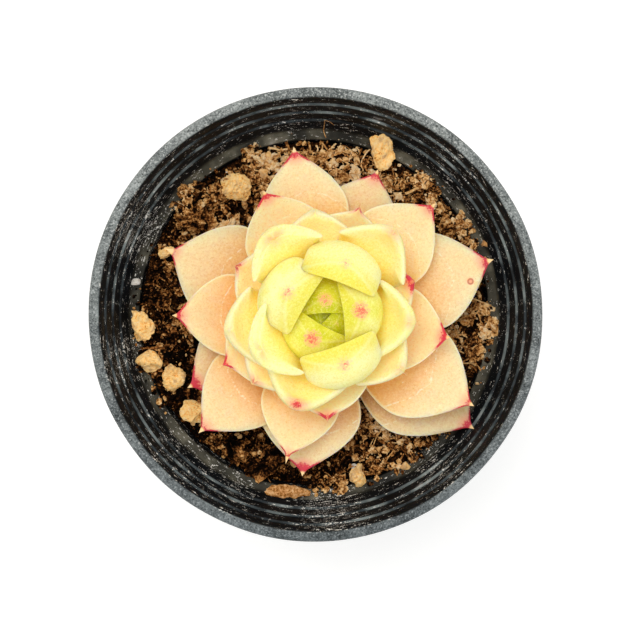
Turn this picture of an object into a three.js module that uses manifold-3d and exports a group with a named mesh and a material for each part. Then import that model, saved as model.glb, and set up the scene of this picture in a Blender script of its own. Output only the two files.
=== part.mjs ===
// A potted echeveria: a rosette of plump, cupped leaves on a short stem, in gritty
// potting soil, in a thin-walled black nursery pot with a stepped collar.
// Millimetres, +Z up. The origin is the centre of the pot's foot, on the table.
import * as THREE from "three";
import { mergeVertices } from "three/addons/utils/BufferGeometryUtils.js";
import Module from "manifold-3d";

const wasm = await Module();
wasm.setup();

// Driving dimensions
const gap = 0.3; // clearance between neighbouring solids
const degree = Math.PI / 180;

const pot = {
  height: 80,
  rimRadius: 45,
  lipWidth: 2, // flat top of the lip
  lipDrop: 3.4, // how far the lip hangs down outside
  wall: 1.2,
  collar: [ // inside radius of each rib, and its depth below the rim
    [42.4, 1.2],
    [41.9, 4],
    [40.9, 8],
    [39.9, 12],
  ],
  ribTread: 0.45, // how far each rib steps in
  ledgeDepth: 16,
  ledgeOuter: 38.5,
  ledgeInner: 36.7,
  footRadius: 30.5,
  footRing: 2.6, // width of the ring that it stands on
  footHeight: 2,
  floorHeight: 3.5,
  drainRadius: 3.2,
  drainCircle: 18.5,
  drainCount: 6,
  sides: 48,
};

const soil = {
  surface: 61.4, // mean height of the surface
  lump: 0.8, // half the height of its lumps
  clodRise: 0.6, // how far the middle of a clod stands above the surface
  heap: 2.4, // how much higher it lies against the wall, but for its low side
  lowAzimuth: 252,
  heapInner: 24,
  heapWidth: 10,
  rings: 8,
  sides: 40,
};

const stem = {
  axisX: 1.5, // the plant stands a little off the pot's centre
  bottom: 48,
  top: 77,
  radius: 4.2,
  tipRadius: 1.2,
  sides: 14,
};

// The leaves follow each other up the stem by one constant turn. Each row is one leaf,
// from the heart outwards: how far it strays from that turn (degrees), how far its
// end reaches from the stem's axis, its width and, where it bends over the heart,
// how far it bulges (mm).
const firstAzimuth = 41.5;
const turn = 138.4;
const leafRows = [
  [0, 0.6, 5.5, 2.2],
  [0, 0.8, 6.5, 3.0],
  [0, 0.9, 8, 4.4],
  [-5, 0.4, 10.5, 6.0],
  [5, 2.0, 12.5, 8.4],
  [-6, 3.3, 12.6, 9.6],
  [-3, 4.4, 14.2, 11.8],
  [0, 6.2, 15.4, 12.4],
  [-1, 6.7, 15.2, 12.4],
  [2, 14.1, 15.4],
  [10, 15.9, 15.6],
  [0, 18.0, 15.4],
  [-10, 17.9, 16.4],
  [10, 20.4, 17],
  [10, 18.5, 15.6],
  [7, 17.7, 15.8],
  [0, 19.8, 16],
  [-11, 18.8, 15],
  [8, 18.1, 15.6],
  [0, 19.7, 15],
  [-18, 20.3, 16.6],
  [4, 22.2, 16],
  [0, 22.1, 16.4],
  [5, 24.7, 17],
  [-7, 26.6, 17],
  [-6, 28.8, 16],
  [5, 30.7, 17.6],
  [2, 29.4, 16.6],
  [12, 34.6, 20],
  [5, 33.4, 18],
  [-10, 33.8, 17.4],
  [6, 35.5, 20.6],
  [7, 33.3, 21],
  [-26, 32.4, 21],
  [2, 30.9, 18],
  [3, 30.6, 19.5],
  [-21, 38.4, 22],
];

const rosette = {
  baseHeights: [75.5, 63.8], // where a leaf leaves the stem: innermost, outermost
  baseRadii: [0.8, 3.4],
  hoodEnds: [83, 91.6], // height of the ends of the leaves over the heart
  openEnds: [90.6, 69], // height of the other points: first, outermost
  thickness: 2.8,
  around: 8, // facets round a leaf and along it
  along: 10,
};

// Lumps of peat in the soil: azimuth and radius from the pot's axis, and size.
const clods = [
  { azimuth: 237, radius: 32.2, size: [5.6, 6.4, 4.6] },
  { azimuth: 252, radius: 32.6, size: [8.4, 6.2, 4] },
  { azimuth: 142, radius: 31.8, size: [6.6, 6, 4.6] },
  { azimuth: 328, radius: 31.4, size: [6.4, 5.4, 4.2] },
];

// Where the soil spills over the pot's ledge (azimuths), one crumb after another.
const spills = [[22, 35], [43, 56], [109, 114], [131, 143], [172, 213], [292, 306]];
const spillCrumb = { step: 7, radius: 36.2, size: [5.2, 4.2, 3.4] };

// Stones: middle, size, turn about +Z and lean of the far end (degrees), and, where
// one lies on the ledge, how far its middle is above it.
const stones = {
  stone_01: { at: [13.9, 33.0], size: [4.4, 9.4, 2.8], turn: 21, lean: 24, above: 2.5, seed: 3 },
  stone_02: { at: [-16.6, 26.2], size: [6.6, 5.6, 4.2], turn: -30, seed: 5 },
  stone_03: { at: [-35.4, -2.3], size: [5.4, 6.6, 4.4], turn: 25, above: 2.4, seed: 8 },
  stone_04: { at: [-34.2, -9.3], size: [5.4, 5.6, 4.4], turn: 60, above: 2.4, seed: 13 },
  stone_05: { at: [-29.2, -13.0], size: [5.2, 6, 4.4], turn: 10, above: 0.6, seed: 21 },
  stone_06: { at: [9.2, -33.9], size: [3.1, 5, 2.8], turn: -23, lean: -14, above: 1, seed: 34 },
  stone_07: { at: [-25.0, -20.4], size: [5, 6, 4.4], turn: 75, seed: 55 },
  stone_08: { at: [-30.6, 13.2], size: [4.0, 2.8, 2.6], turn: 15, seed: 89 },
  bark_chip: { at: [-6.0, -37.0], size: [10, 2.4, 1.6], turn: -9, above: 1.3, seed: 144 },
};

// Helpers
const mix = (a, b, share) => a + (b - a) * share;

// A repeatable random number from 0 to 1 for a whole-number key.
function chance(key) {
  const wave = Math.sin(key * 127.1 + 11.7) * 43758.5453;
  return wave - Math.floor(wave);
}

// Smooth random relief over the plane, from -1 to 1.
function relief(x, y, seed) {
  const column = Math.floor(x);
  const row = Math.floor(y);
  const corner = (i, j) => chance((column + i) * 57 + (row + j) * 131 + seed) * 2 - 1;
  const ease = (share) => share * share * (3 - 2 * share);
  const near = mix(corner(0, 0), corner(1, 0), ease(x - column));
  const far = mix(corner(0, 1), corner(1, 1), ease(x - column));
  return mix(near, far, ease(y - row));
}

// The position-only form of a geometry, with its shared vertices merged.
function merged(geometry) {
  geometry.deleteAttribute("normal");
  geometry.deleteAttribute("uv");
  return mergeVertices(geometry, 1e-4);
}

// Moves each vertex of a geometry by a function of its old place.
function reshape(geometry, move) {
  const position = geometry.getAttribute("position");
  const point = new THREE.Vector3();
  for (let i = 0; i < position.count; i += 1) {
    point.fromBufferAttribute(position, i);
    move(point, i);
    position.setXYZ(i, point.x, point.y, point.z);
  }
  return geometry;
}

// The same body, grown outwards all round.
function swollen(geometry, distance) {
  const copy = geometry.clone();
  copy.computeVertexNormals();
  const normals = copy.getAttribute("normal");
  const normal = new THREE.Vector3();
  reshape(copy, (point, i) => {
    point.addScaledVector(normal.fromBufferAttribute(normals, i), distance);
  });
  return merged(copy);
}

function toSolid(geometry) {
  const triVerts = new Uint32Array(geometry.index.array);
  const vertProperties = new Float32Array(geometry.attributes.position.array);
  return new wasm.Manifold(new wasm.Mesh({ numProp: 3, vertProperties, triVerts }));
}

function toGeometry(solid) {
  const mesh = solid.getMesh();
  const position = new THREE.BufferAttribute(new Float32Array(mesh.vertProperties), 3);
  const geometry = new THREE.BufferGeometry();
  geometry.setAttribute("position", position);
  geometry.setIndex(new THREE.BufferAttribute(new Uint32Array(mesh.triVerts), 1));
  geometry.computeVertexNormals();
  return geometry;
}

// The largest body of a solid: a crumb that a cut leaves loose is dropped.
function mainBody(solid) {
  const bodies = solid.decompose();
  return bodies.reduce((best, body) => (body.volume() > best.volume() ? body : best));
}

// A body turned about +Z from [radius, height] pairs that start and end on the axis,
// going up the outside and down the inside.
function turned(outline, sides) {
  const points = outline.map(([radius, height]) => new THREE.Vector2(radius, height));
  return merged(new THREE.LatheGeometry(points, sides).rotateX(90 * degree));
}

// The pot
const ledge = pot.height - pot.ledgeDepth;

// Radius of the pot's inner wall at a height below the ledge.
function innerRadius(height) {
  const share = (height - pot.floorHeight) / (ledge - pot.floorHeight);
  return mix(pot.footRadius - pot.wall, pot.ledgeInner, share);
}

function makePot() {
  const outside = [
    [0, pot.floorHeight - pot.wall],
    [pot.footRadius - pot.footRing, pot.footHeight],
    [pot.footRadius - pot.footRing, 0],
    [pot.footRadius, 0],
    [pot.ledgeInner + pot.wall, ledge - pot.wall * 1.4],
    [pot.ledgeOuter + pot.wall * 0.9, ledge - pot.wall],
  ];
  const inside = [[pot.rimRadius - pot.lipWidth, pot.height]];
  pot.collar.forEach(([radius, depth], rib) => {
    if (rib > 0) inside.push([radius + pot.ribTread, pot.height - depth + 0.15]);
    inside.push([radius, pot.height - depth]);
  });
  const ribs = pot.collar.slice(1).reverse();
  for (const [radius, depth] of ribs) {
    outside.push([radius + pot.wall, pot.height - depth - pot.wall * 0.6]);
  }
  outside.push(
    [pot.rimRadius - pot.wall, pot.height - pot.lipDrop - 0.6],
    [pot.rimRadius - 0.1, pot.height - pot.lipDrop],
    [pot.rimRadius, pot.height - 0.5],
    [pot.rimRadius - 0.4, pot.height],
  );
  inside.push(
    [pot.ledgeOuter, ledge + 0.4],
    [pot.ledgeInner, ledge],
    [pot.footRadius - pot.wall, pot.floorHeight],
    [0, pot.floorHeight],
  );
  let body = toSolid(turned([...outside, ...inside], pot.sides));
  for (let i = 0; i < pot.drainCount; i += 1) {
    const angle = (360 / pot.drainCount) * i * degree;
    const drain = new THREE.CylinderGeometry(pot.drainRadius, pot.drainRadius, 12, 14);
    drain.rotateX(90 * degree);
    drain.translate(Math.cos(angle) * pot.drainCircle, Math.sin(angle) * pot.drainCircle, 0);
    body = body.subtract(toSolid(merged(drain)));
  }
  return body;
}

// The soil
// Height of its surface: lumpy, and heaped against the wall but for its low side.
function soilHeight(x, y) {
  const clods = relief(x / 5.5, y / 5.5, 7) * 0.65;
  const crumbs = relief(x / 2.4, y / 2.4, 29) * 0.35;
  const outward = Math.min(1, Math.max(0, (Math.hypot(x, y) - soil.heapInner) / soil.heapWidth));
  const toLow = Math.max(0, Math.cos(Math.atan2(y, x) - soil.lowAzimuth * degree));
  const heap = soil.heap * outward * Math.min(1, 1.2 - 1.2 * toLow ** 2);
  return soil.surface + soil.lump * (clods + crumbs) + heap;
}

// A rough lump: a ball of flat facets, pushed in and out and drawn out to its size.
function lumpShape([width, length, depth], detail, seed) {
  const lump = merged(new THREE.IcosahedronGeometry(1, detail));
  return reshape(lump, (point, i) => {
    point.multiplyScalar(1 + 0.22 * (chance(seed * 61 + i) - 0.5));
    point.multiply(new THREE.Vector3(width / 2, length / 2, depth / 2));
  });
}

// A lump that stands on the surface at an azimuth and a radius about the pot's axis.
function crumbSolid(azimuth, radius, height, size, seed) {
  const lump = lumpShape(size, 0, seed).rotateZ(chance(seed) * 360 * degree);
  const x = radius * Math.cos(azimuth * degree);
  const y = radius * Math.sin(azimuth * degree);
  return toSolid(lump.translate(x, y, height ?? soilHeight(x, y) + soil.clodRise));
}

// The room inside the pot, clear of its wall and its ledge.
function makeCavity() {
  const rib = pot.collar.length - 1;
  const [collarRadius, collarDepth] = pot.collar[rib];
  const outline = [
    [0, pot.floorHeight + gap],
    [innerRadius(pot.floorHeight) - gap * 1.5, pot.floorHeight + gap],
    [pot.ledgeInner - gap * 1.5, ledge - gap],
    [pot.ledgeInner - gap * 1.5, ledge + gap * 1.2],
    [pot.ledgeOuter - gap * 1.5, ledge + 0.4 + gap * 1.2],
    [collarRadius - gap * 1.5, pot.height - collarDepth],
    [0, pot.height - collarDepth],
  ];
  return toSolid(turned(outline, pot.sides));
}

function makeSoil() {
  const bottom = pot.floorHeight + gap;
  const foot = innerRadius(bottom) - gap * 2;
  const rim = innerRadius(soil.surface) - gap * 2;
  const outline = [[0, bottom], [foot, bottom]];
  for (let i = soil.rings; i >= 0; i -= 1) {
    outline.push([(rim * i) / soil.rings, soil.surface]);
  }
  const surface = turned(outline, soil.sides);
  reshape(surface, (point) => {
    if (point.z > bottom + 1) point.z = soilHeight(point.x, point.y);
  });
  let bed = toSolid(surface);
  for (const [seed, { azimuth, radius, size }] of clods.entries()) {
    bed = bed.add(crumbSolid(azimuth, radius, undefined, size, seed + 200));
  }
  const { step, radius, size } = spillCrumb;
  for (const [from, to] of spills) {
    for (let azimuth = from; azimuth <= to; azimuth += step) {
      const reach = radius + chance(azimuth) - 0.5;
      bed = bed.add(crumbSolid(azimuth, reach, ledge, size, azimuth + 400));
    }
  }
  return bed.intersect(makeCavity());
}

// The stones
function stoneShape({ at: [x, y], size, turn: yaw, lean = 0, above, seed }) {
  const height = above === undefined ? soilHeight(x, y) + size[2] * 0.2 : ledge + above;
  const stone = lumpShape(size, 1, seed).rotateX(lean * degree).rotateZ(yaw * degree);
  return stone.translate(x, y, height);
}

// The stem
function stemShape() {
  const [highest, lowest] = rosette.baseHeights;
  const outline = [
    [0, stem.bottom],
    [stem.radius * 0.6, stem.bottom],
    [stem.radius * 0.9, stem.bottom + 4],
    [stem.radius, lowest],
    [stem.radius * 0.7, mix(lowest, highest, 0.6)],
    [stem.tipRadius, highest],
    [0, stem.top],
  ];
  return turned(outline, stem.sides).translate(stem.axisX, 0, 0);
}

// The leaves
// Everything that shapes leaf number i, counted from the heart.
function leafForm(i) {
  const [sway, reach, width, bulge] = leafRows[i];
  const last = leafRows.length - 1;
  const hooded = bulge !== undefined;
  const hoods = leafRows.filter((row) => row.length > 3).length;
  const opening = hooded ? 0 : (i - hoods) / (last - hoods);
  const age = i / last;
  const endHeight = hooded
    ? mix(...rosette.hoodEnds, Math.sin((i / (hoods - 1)) * 90 * degree))
    : mix(...rosette.openEnds, opening ** 1.1);
  const base = [mix(...rosette.baseRadii, age), mix(...rosette.baseHeights, age)];
  const end = [reach, endHeight];
  const chord = Math.hypot(end[0] - base[0], end[1] - base[1]);
  const leave = mix(46, 4, age ** 0.8) * degree; // slope at the stem
  const arrive = (hooded ? 165 : 12 + 104 * (1 - opening) ** 1.6) * degree; // at the end
  let handles = [chord * 0.42, chord * 0.4];
  if (hooded) {
    const swing = bulge - (base[0] + end[0]) / 2;
    const pull = (swing * 8) / 3 / (0.8 * Math.cos(leave) - Math.cos(arrive));
    handles = [pull * 0.8, pull];
  }
  const [near, far] = handles;
  return {
    azimuth: (firstAzimuth + turn * i + sway) * degree,
    halfWidth: width / 2,
    hooded,
    opening,
    curlRadius: hooded ? bulge * 0.95 : mix(13, 34, opening),
    thickness: rosette.thickness * mix(0.6, 1, Math.min(1, i / hoods)),
    spine: [
      base,
      [base[0] + Math.cos(leave) * near, base[1] + Math.sin(leave) * near],
      [end[0] - Math.cos(arrive) * far, end[1] - Math.sin(arrive) * far],
      end,
    ],
  };
}

// Place and direction of a leaf's middle line at s, from 0 at the stem to 1 at the end.
function spineAt([a, b, c, d], s) {
  const r = 1 - s;
  const place = (k) =>
    r * r * r * a[k] + 3 * r * r * s * b[k] + 3 * r * s * s * c[k] + s * s * s * d[k];
  const slope = (k) =>
    r * r * (b[k] - a[k]) + 2 * r * s * (c[k] - b[k]) + s * s * (d[k] - c[k]);
  const size = Math.hypot(slope(0), slope(1));
  return { out: place(0), up: place(1), dirOut: slope(0) / size, dirUp: slope(1) / size };
}

// Half the width at s as a share of the widest: a narrow neck, round shoulders,
// then a pointed end on open leaves and a blunt one on hooded leaves.
function outlineAt({ hooded, opening }, s) {
  const widest = hooded ? 0.85 : mix(0.62, 0.6, opening);
  if (s < widest) return mix(0.26, 1, Math.sin((s / widest) * 90 * degree) ** 1.3);
  const x = (s - widest) / (1 - widest);
  if (hooded) return (1 - x ** 10) ** 0.2;
  return Math.max(0.05, (1 - x ** mix(2.3, 1.9, opening)) ** 0.95);
}

// A leaf: a ball whose rings are drawn out along its middle line, from root to point.
function leafShape(i) {
  const form = leafForm(i);
  const cos = Math.cos(form.azimuth);
  const sin = Math.sin(form.azimuth);
  const ball = merged(new THREE.SphereGeometry(1, rosette.around, rosette.along));
  return reshape(ball, (point) => {
    const s = (1 - point.y) / 2;
    const girth = Math.hypot(point.x, point.z);
    const pole = girth < 1e-6;
    const { out, up, dirOut, dirUp } = spineAt(form.spine, s);
    const across = pole ? 0 : (point.x / girth) * form.halfWidth * outlineAt(form, s);
    const face = pole ? 0 : point.z / girth;
    const swell = 0.5 + 0.5 * Math.sin(Math.min(1, s * 1.3) * 120 * degree);
    const depth = face * form.thickness * swell * (1 - 0.68 * s ** 5) * (face > 0 ? 0.36 : 0.64);
    const slope = across / form.curlRadius;
    const lean = Math.hypot(1, slope);
    const lift = (across * slope) / 2 + depth / lean;
    const sideways = across - (slope * depth) / lean;
    const radial = out - dirUp * lift;
    point.set(
      stem.axisX + radial * cos - sideways * sin,
      radial * sin + sideways * cos,
      up + dirOut * lift,
    );
  });
}

// Materials
const paint = (color, roughness) =>
  new THREE.MeshStandardMaterial({ color, roughness, metalness: 0 });

const leafTints = ["#b9c431", "#e8dc5a", "#f3d98c", "#efc795"]; // heart to outermost

function leafPaint(i) {
  const place = (i / (leafRows.length - 1)) * (leafTints.length - 1.001);
  const step = Math.floor(place);
  const color = new THREE.Color(leafTints[step]);
  return paint(color.lerp(new THREE.Color(leafTints[step + 1]), place - step), 0.5);
}

// Assembly
const group = new THREE.Group();
group.name = "potted_echeveria";

function addPart(name, solid, material) {
  const mesh = new THREE.Mesh(toGeometry(solid), material);
  mesh.name = name;
  group.add(mesh);
}

addPart("pot", makePot(), paint("#17181a", 0.5));

const stalk = stemShape();
addPart("stem", toSolid(stalk), paint("#8f8a4a", 0.7));
let taken = toSolid(swollen(stalk, gap));
let ground = makeSoil().subtract(taken);

const stoneColors = ["#c9995c", "#d2a565", "#dcb678", "#cf9d58", "#c18c4e", "#d8b27c", "#a87a4c"];
for (const [i, [name, stone]] of Object.entries(stones).entries()) {
  const shape = stoneShape(stone);
  ground = ground.subtract(toSolid(swollen(shape, gap)));
  addPart(name, toSolid(shape), paint(stoneColors[i % stoneColors.length], 0.9));
}
addPart("soil", mainBody(ground), paint("#3a2417", 0.95));

for (let i = 0; i < leafRows.length; i += 1) {
  const shape = leafShape(i);
  const body = mainBody(toSolid(shape).subtract(taken));
  taken = taken.add(toSolid(swollen(shape, gap)));
  addPart(`leaf_${String(i + 1).padStart(2, "0")}`, body, leafPaint(i));
}

export default group;
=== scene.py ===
import math
import random
from functools import partial

import bmesh
import bpy
from mathutils import Matrix, Vector, noise


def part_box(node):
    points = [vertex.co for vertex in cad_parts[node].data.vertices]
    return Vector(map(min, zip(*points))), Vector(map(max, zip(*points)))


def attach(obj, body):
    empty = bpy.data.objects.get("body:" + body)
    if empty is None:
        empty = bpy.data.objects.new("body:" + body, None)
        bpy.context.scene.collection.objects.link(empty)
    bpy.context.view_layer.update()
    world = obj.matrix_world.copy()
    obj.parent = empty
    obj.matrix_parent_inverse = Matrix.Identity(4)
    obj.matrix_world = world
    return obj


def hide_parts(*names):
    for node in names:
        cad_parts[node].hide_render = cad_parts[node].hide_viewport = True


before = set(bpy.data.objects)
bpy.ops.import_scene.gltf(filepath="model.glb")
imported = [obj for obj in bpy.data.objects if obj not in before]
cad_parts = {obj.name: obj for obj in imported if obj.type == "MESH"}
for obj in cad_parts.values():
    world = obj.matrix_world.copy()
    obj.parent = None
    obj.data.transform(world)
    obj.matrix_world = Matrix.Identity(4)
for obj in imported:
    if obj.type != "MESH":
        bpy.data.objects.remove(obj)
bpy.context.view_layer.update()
mm = 0.001
scene = bpy.context.scene
# node settings that come back often
times, timesPlus = {"operation": "MULTIPLY"}, {"operation": "MULTIPLY_ADD"}
eased = {"interpolation_type": "SMOOTHSTEP"}
print("frame loaded:", len(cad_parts), "nodes")


# Small helpers
def mix(a, b, share):
    return a + (b - a) * share


def ease(low, high, value):  # smooth step from 0 at low to 1 at high
    share = min(1, max(0, (value - low) / (high - low)))
    return share * share * (3 - 2 * share)


def chance(key):  # the same repeatable random number as in the part's source
    wave = math.sin(key * 127.1 + 11.7) * 43758.5453
    return wave - math.floor(wave)


def polar(reach, azimuth):  # to x and y, from an azimuth in radians
    return reach * math.cos(azimuth), reach * math.sin(azimuth)


def azimuthShare(x, y, ranges, soft):  # how far a spot is in ranges of azimuth, by their weights
    azimuth = math.degrees(math.atan2(y, x)) % 360
    best = 0
    for low, high, weight in ranges:
        middle, half = (low + high) / 2, (high - low) / 2
        off = abs((azimuth - middle + 180) % 360 - 180)
        best = max(best, weight * (1 - ease(half - soft, half + soft, off)))
    return best


def scaled(point, sizes):
    return Vector([c * size for c, size in zip(point, sizes)])


def linear(code):  # sRGB hex to Blender's linear colour
    parts = [int(code[i:i + 2], 16) / 255 for i in (1, 3, 5)]
    return [c / 12.92 if c <= 0.04045 else ((c + 0.055) / 1.055) ** 2.4 for c in parts] + [1]


def perMm(size):  # texture scale for a feature of this many millimetres
    return 1000 / size


# Feeds go to the node's sockets in order, and settings with a capital to those of that
# name; each is a value, a colour, or a node or socket to link. Other settings are its own.
def addNode(tree, kind, *feeds, stops=(), **settings):
    node = tree.nodes.new("ShaderNode" + kind)
    sockets = list(enumerate(feeds))
    for name, value in settings.items():
        if name[0].isupper():
            sockets.append((name.replace("_", " "), value))
        else:
            setattr(node, name, value)
    for socket, value in sockets:
        if isinstance(value, bpy.types.Node):
            value = value.outputs[0]
        if isinstance(value, bpy.types.NodeSocket):
            tree.links.new(value, node.inputs[socket])
        else:
            node.inputs[socket].default_value = linear(value) if isinstance(value, str) else value
    for place, code in stops:
        near = [e for e in node.color_ramp.elements if abs(e.position - place) < 1e-4]
        element = near[0] if near else node.color_ramp.elements.new(place)
        element.color = linear(code)
    return node


def startMaterial(name):  # an empty material, and addNode for its tree
    material = bpy.data.materials.new(name)
    material.use_nodes = True
    material.node_tree.nodes.clear()
    return material, partial(addNode, material.node_tree)


def finishPiece(name, bm, material, replaces=(), smooth=True, body="root"):
    for face in bm.faces:
        face.smooth = smooth
    mesh = bpy.data.meshes.new(name)
    bm.to_mesh(mesh)
    bm.free()
    piece = bpy.data.objects.new(name, mesh)
    scene.collection.objects.link(piece)
    mesh.materials.append(material)
    if body:
        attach(piece, body)
    if replaces:
        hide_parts(*replaces)
    return piece


def spinProfile(profile, steps, cuts=0):  # a solid of revolution from radii and heights
    bm = bmesh.new()
    verts = [bm.verts.new((r * mm, 0, z * mm)) for r, z in profile]
    for first, second in zip(verts, verts[1:]):
        bm.edges.new((first, second))
    if cuts:
        bmesh.ops.subdivide_edges(bm, edges=bm.edges[1:-1], cuts=cuts)
    bmesh.ops.spin(bm, geom=bm.verts[:] + bm.edges[:], cent=(0, 0, 0), axis=(0, 0, 1),
                   angle=math.tau, steps=steps, use_merge=True)
    bmesh.ops.remove_doubles(bm, verts=bm.verts[:], dist=0.01 * mm)
    bmesh.ops.recalc_face_normals(bm, faces=bm.faces[:])
    return bm


def copiesOf(bm, doublings):  # doubles what is in the bmesh, and returns each copy's vertices
    number = bm.verts.layers.int.new("copy")
    for step in range(doublings):
        made = bmesh.ops.duplicate(bm, geom=bm.verts[:] + bm.edges[:] + bm.faces[:])["geom"]
        for element in made:
            if isinstance(element, bmesh.types.BMVert):
                element[number] += 2 ** step
    groups = [[] for _ in range(2 ** doublings)]
    for vert in bm.verts:
        groups[vert[number]].append(vert)
    return groups


# Camera and light: the photograph looks almost straight down into the pot
camera = {
    "place": (-7.004, 1.763, 339.87),
    "target": (0.67, -1.03, 80.0),
    "lens": 74.035,  # on a 36 mm sensor
}
view = bpy.data.cameras.new("camera")
view.lens = camera["lens"]
view.sensor_width = 36
view.clip_start = 0.01
viewObject = bpy.data.objects.new("camera", view)
scene.collection.objects.link(viewObject)
backward = (Vector(camera["place"]) - Vector(camera["target"])).normalized()
rightward = Vector((0, 1, 0)).cross(backward).normalized()
upward = backward.cross(rightward)
turnTo = Matrix((rightward, upward, backward)).transposed().to_4x4()
viewObject.matrix_world = Matrix.Translation(Vector(camera["place"]) * mm) @ turnTo
scene.camera = viewObject
scene.view_settings.view_transform = "Standard"  # plain sRGB, as the photograph's colours were read

studio = {
    "sky": 0.76,
    "lamps": [  # place, target, width, power (W), colour
        ((-110, 170, 620), (0, 0, 80), 260, 1.5, "#fffaf2"),
        ((260, -160, 420), (0, 0, 70), 300, 0.3, "#f4f8ff"),
    ],
    "floorSize": 1600,
}
world = bpy.data.worlds.new("studioSky")
world.use_nodes = True
sky = world.node_tree.nodes["Background"]
sky.inputs["Color"].default_value = linear("#ffffff")
sky.inputs["Strength"].default_value = studio["sky"]
scene.world = world
for number, (place, target, width, power, colour) in enumerate(studio["lamps"]):
    lamp = bpy.data.lights.new(f"softbox{number}", "AREA")
    lamp.size = width * mm
    lamp.energy = power
    lamp.color = linear(colour)[:3]
    lampObject = bpy.data.objects.new(lamp.name, lamp)
    scene.collection.objects.link(lampObject)
    aim = (Vector(target) - Vector(place)).to_track_quat("-Z", "Y").to_matrix().to_4x4()
    lampObject.matrix_world = Matrix.Translation(Vector(place) * mm) @ aim

# Matte white paper: a plain floor with next to no gloss, lit evenly up to its edges
paper, add = startMaterial("mattePaper")
add("OutputMaterial", add("BsdfPrincipled", Base_Color="#e9e9e7", Roughness=0.9,
                          Emission_Color="#ffffff", Emission_Strength=0.35))
floorBm = bmesh.new()
bmesh.ops.create_grid(floorBm, x_segments=4, y_segments=4, size=studio["floorSize"] / 2 * mm)
finishPiece("floor", floorBm, paper, body=None)
print("camera, light and floor ready")


# The pot: vacuum-formed black polypropylene. Thin, matt, greyed by scuffs on the lip,
# with lime dust and fine soil along the ribs of the collar.
pot = {
    "height": 80, "rimRadius": 45, "lipWidth": 2, "lipDrop": 3.4, "wall": 1.2,
    "collar": [(42.4, 1.2), (41.9, 4), (40.9, 8), (39.9, 12)],  # each rib's radius and depth
    "ribTread": 0.45, "ledge": 64, "ledgeOuter": 38.5, "ledgeInner": 36.7,
    "footRadius": 30.5, "footRing": 2.6, "footHeight": 2, "floorHeight": 3.5,
    "drainRadius": 3.2, "drainCircle": 18.5, "drainCount": 6,
    "steps": 256, "rounding": 0.14,  # how far its edges are rounded
    "wobble": 0.16, "wobbleLength": 17,  # how far the thin lip strays from round
    "dustPatches": [  # from, to, how dusty
        (40, 52, 0.35), (146, 162, 0.7), (186, 198, 0.6), (214, 250, 0.25),
        (266, 282, 0.65), (304, 316, 0.45), (92, 100, 0.3),
    ],
    "treadDust": 0.12,  # how much more lies on the treads
}


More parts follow.
